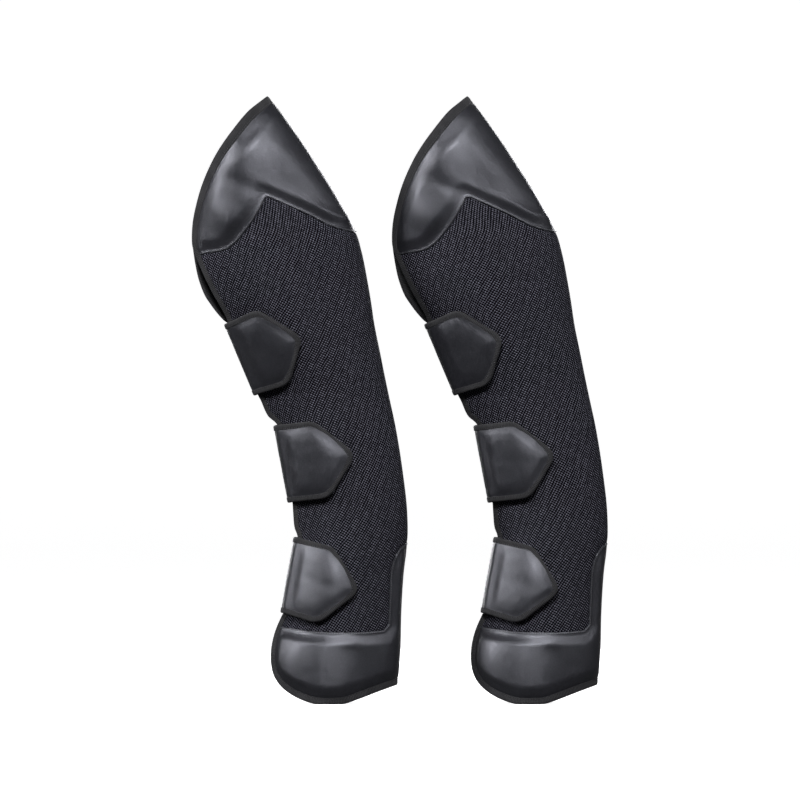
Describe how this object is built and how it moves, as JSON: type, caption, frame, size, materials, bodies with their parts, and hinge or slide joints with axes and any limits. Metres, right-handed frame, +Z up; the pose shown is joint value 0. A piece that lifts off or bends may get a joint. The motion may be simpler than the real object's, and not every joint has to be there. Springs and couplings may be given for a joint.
{
  "type": "horse travel boots",
  "caption": "Tall padded hind travel boots for a horse, standing as a pair, with leather caps, spacer mesh sides and hook-and-loop strap tabs.",
  "frame": {"origin": "on the floor, midway between the two boots", "axes": "+Z up, +X from the left boot to the right boot, -Y towards the outer halves with the strap tabs"},
  "size_m": [0.4414, 0.1188, 0.6516],
  "materials": {
    "leather": "soft sheen, fine grain",
    "spacer_mesh": "matte open weave",
    "binding_tape": "matte ribbed tape",
    "foam": "matte",
    "lining": "matte brushed knit",
    "hook_tape": "matte",
    "loop_tape": "matte pile"
  },
  "bodies": {
    "left_tab_1": {"left_strap_1_tab": "leather", "left_strap_1_tab_binding": "binding_tape", "left_strap_1_hook_patch": "hook_tape"},
    "left_tab_2": {"left_strap_2_tab": "leather", "left_strap_2_tab_binding": "binding_tape", "left_strap_2_hook_patch": "hook_tape"},
    "left_tab_3": {"left_strap_3_tab": "leather", "left_strap_3_tab_binding": "binding_tape", "left_strap_3_hook_patch": "hook_tape"},
    "left_shell": {"left_outer_mesh_panel": "spacer_mesh", "left_outer_top_cap": "leather", "left_outer_hoof_cap": "leather", "left_outer_foam": "foam", "left_outer_lining": "lining", "left_outer_binding": "binding_tape", "left_inner_mesh_panel": "spacer_mesh", "left_inner_top_cap": "leather", "left_inner_hoof_cap": "leather", "left_inner_foam": "foam", "left_inner_lining": "lining", "left_inner_binding": "binding_tape", "left_strap_1_base": "leather", "left_strap_1_loop_patch": "loop_tape", "left_strap_2_base": "leather", "left_strap_2_loop_patch": "loop_tape", "left_strap_3_base": "leather", "left_strap_3_loop_patch": "loop_tape"},
    "right_tab_1": {"right_strap_1_tab": "leather", "right_strap_1_tab_binding": "binding_tape", "right_strap_1_hook_patch": "hook_tape"},
    "right_tab_2": {"right_strap_2_tab": "leather", "right_strap_2_tab_binding": "binding_tape", "right_strap_2_hook_patch": "hook_tape"},
    "right_tab_3": {"right_strap_3_tab": "leather", "right_strap_3_tab_binding": "binding_tape", "right_strap_3_hook_patch": "hook_tape"},
    "right_shell": {"right_outer_mesh_panel": "spacer_mesh", "right_outer_top_cap": "leather", "right_outer_hoof_cap": "leather", "right_outer_foam": "foam", "right_outer_lining": "lining", "right_outer_binding": "binding_tape", "right_inner_mesh_panel": "spacer_mesh", "right_inner_top_cap": "leather", "right_inner_hoof_cap": "leather", "right_inner_foam": "foam", "right_inner_lining": "lining", "right_inner_binding": "binding_tape", "right_strap_1_base": "leather", "right_strap_1_loop_patch": "loop_tape", "right_strap_2_base": "leather", "right_strap_2_loop_patch": "loop_tape", "right_strap_3_base": "leather", "right_strap_3_loop_patch": "loop_tape"}
  },
  "joints": [
    {"name": "left_strap_1_peel", "type": "hinge", "parent": "left_shell", "child": "left_tab_1", "pos_m": [-0.16527, -0.02195, 0.36905], "axis": [0.3876, 0.0475, -0.9206], "range_deg": [0, 140]},
    {"name": "left_strap_2_peel", "type": "hinge", "parent": "left_shell", "child": "left_tab_2", "pos_m": [-0.12057, -0.02391, 0.25659], "axis": [0.1813, 0.0254, -0.9831], "range_deg": [0, 140]},
    {"name": "left_strap_3_peel", "type": "hinge", "parent": "left_shell", "child": "left_tab_3", "pos_m": [-0.11352, -0.02663, 0.13752], "axis": [-0.1802, -0.0099, -0.9836], "range_deg": [0, 140]},
    {"name": "right_strap_1_peel", "type": "hinge", "parent": "right_shell", "child": "right_tab_1", "pos_m": [0.04923, -0.02195, 0.36905], "axis": [0.3876, 0.0475, -0.9206], "range_deg": [0, 120]},
    {"name": "right_strap_2_peel", "type": "hinge", "parent": "right_shell", "child": "right_tab_2", "pos_m": [0.09393, -0.02391, 0.25659], "axis": [0.1813, 0.0254, -0.9831], "range_deg": [0, 130]},
    {"name": "right_strap_3_peel", "type": "hinge", "parent": "right_shell", "child": "right_tab_3", "pos_m": [0.10098, -0.02663, 0.13752], "axis": [-0.1802, -0.0099, -0.9836], "range_deg": [0, 130]},
    {"name": "boots_apart", "type": "slide", "parent": "left_shell", "child": "right_shell", "axis": [1, 0, 0], "range_m": [0, 0.25]}
  ]
}
